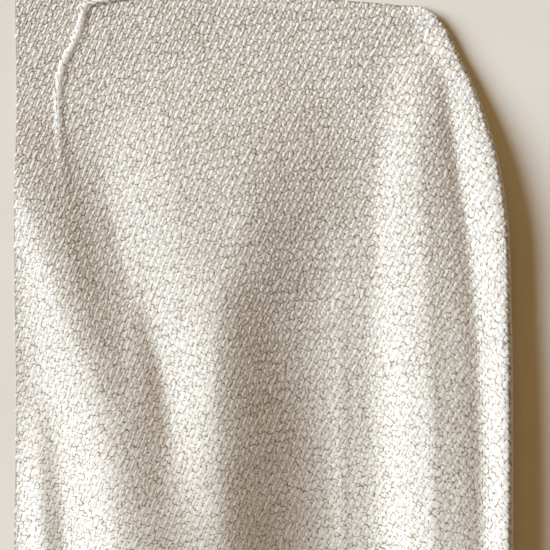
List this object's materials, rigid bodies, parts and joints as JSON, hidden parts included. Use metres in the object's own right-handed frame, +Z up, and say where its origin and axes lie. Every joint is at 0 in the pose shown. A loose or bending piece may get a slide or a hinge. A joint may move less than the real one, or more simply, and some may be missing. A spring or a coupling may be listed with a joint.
{
  "type": "sofa throw",
  "caption": "Cut length of heavy cream crepe-woven throw cloth, lying in soft folds with its right side folded and tucked under.",
  "frame": {"origin": "middle of the footprint, on the surface that the cloth lies on", "axes": "+X to the right across the folds, +Y up the cloth towards its top edge, +Z up out of the cloth"},
  "size_m": [0.3988, 0.4806, 0.0428],
  "materials": {
    "cream_cloth": "matt heavy crepe weave"
  },
  "bodies": {
    "root": {"throw": "cream_cloth"}
  },
  "joints": []
}
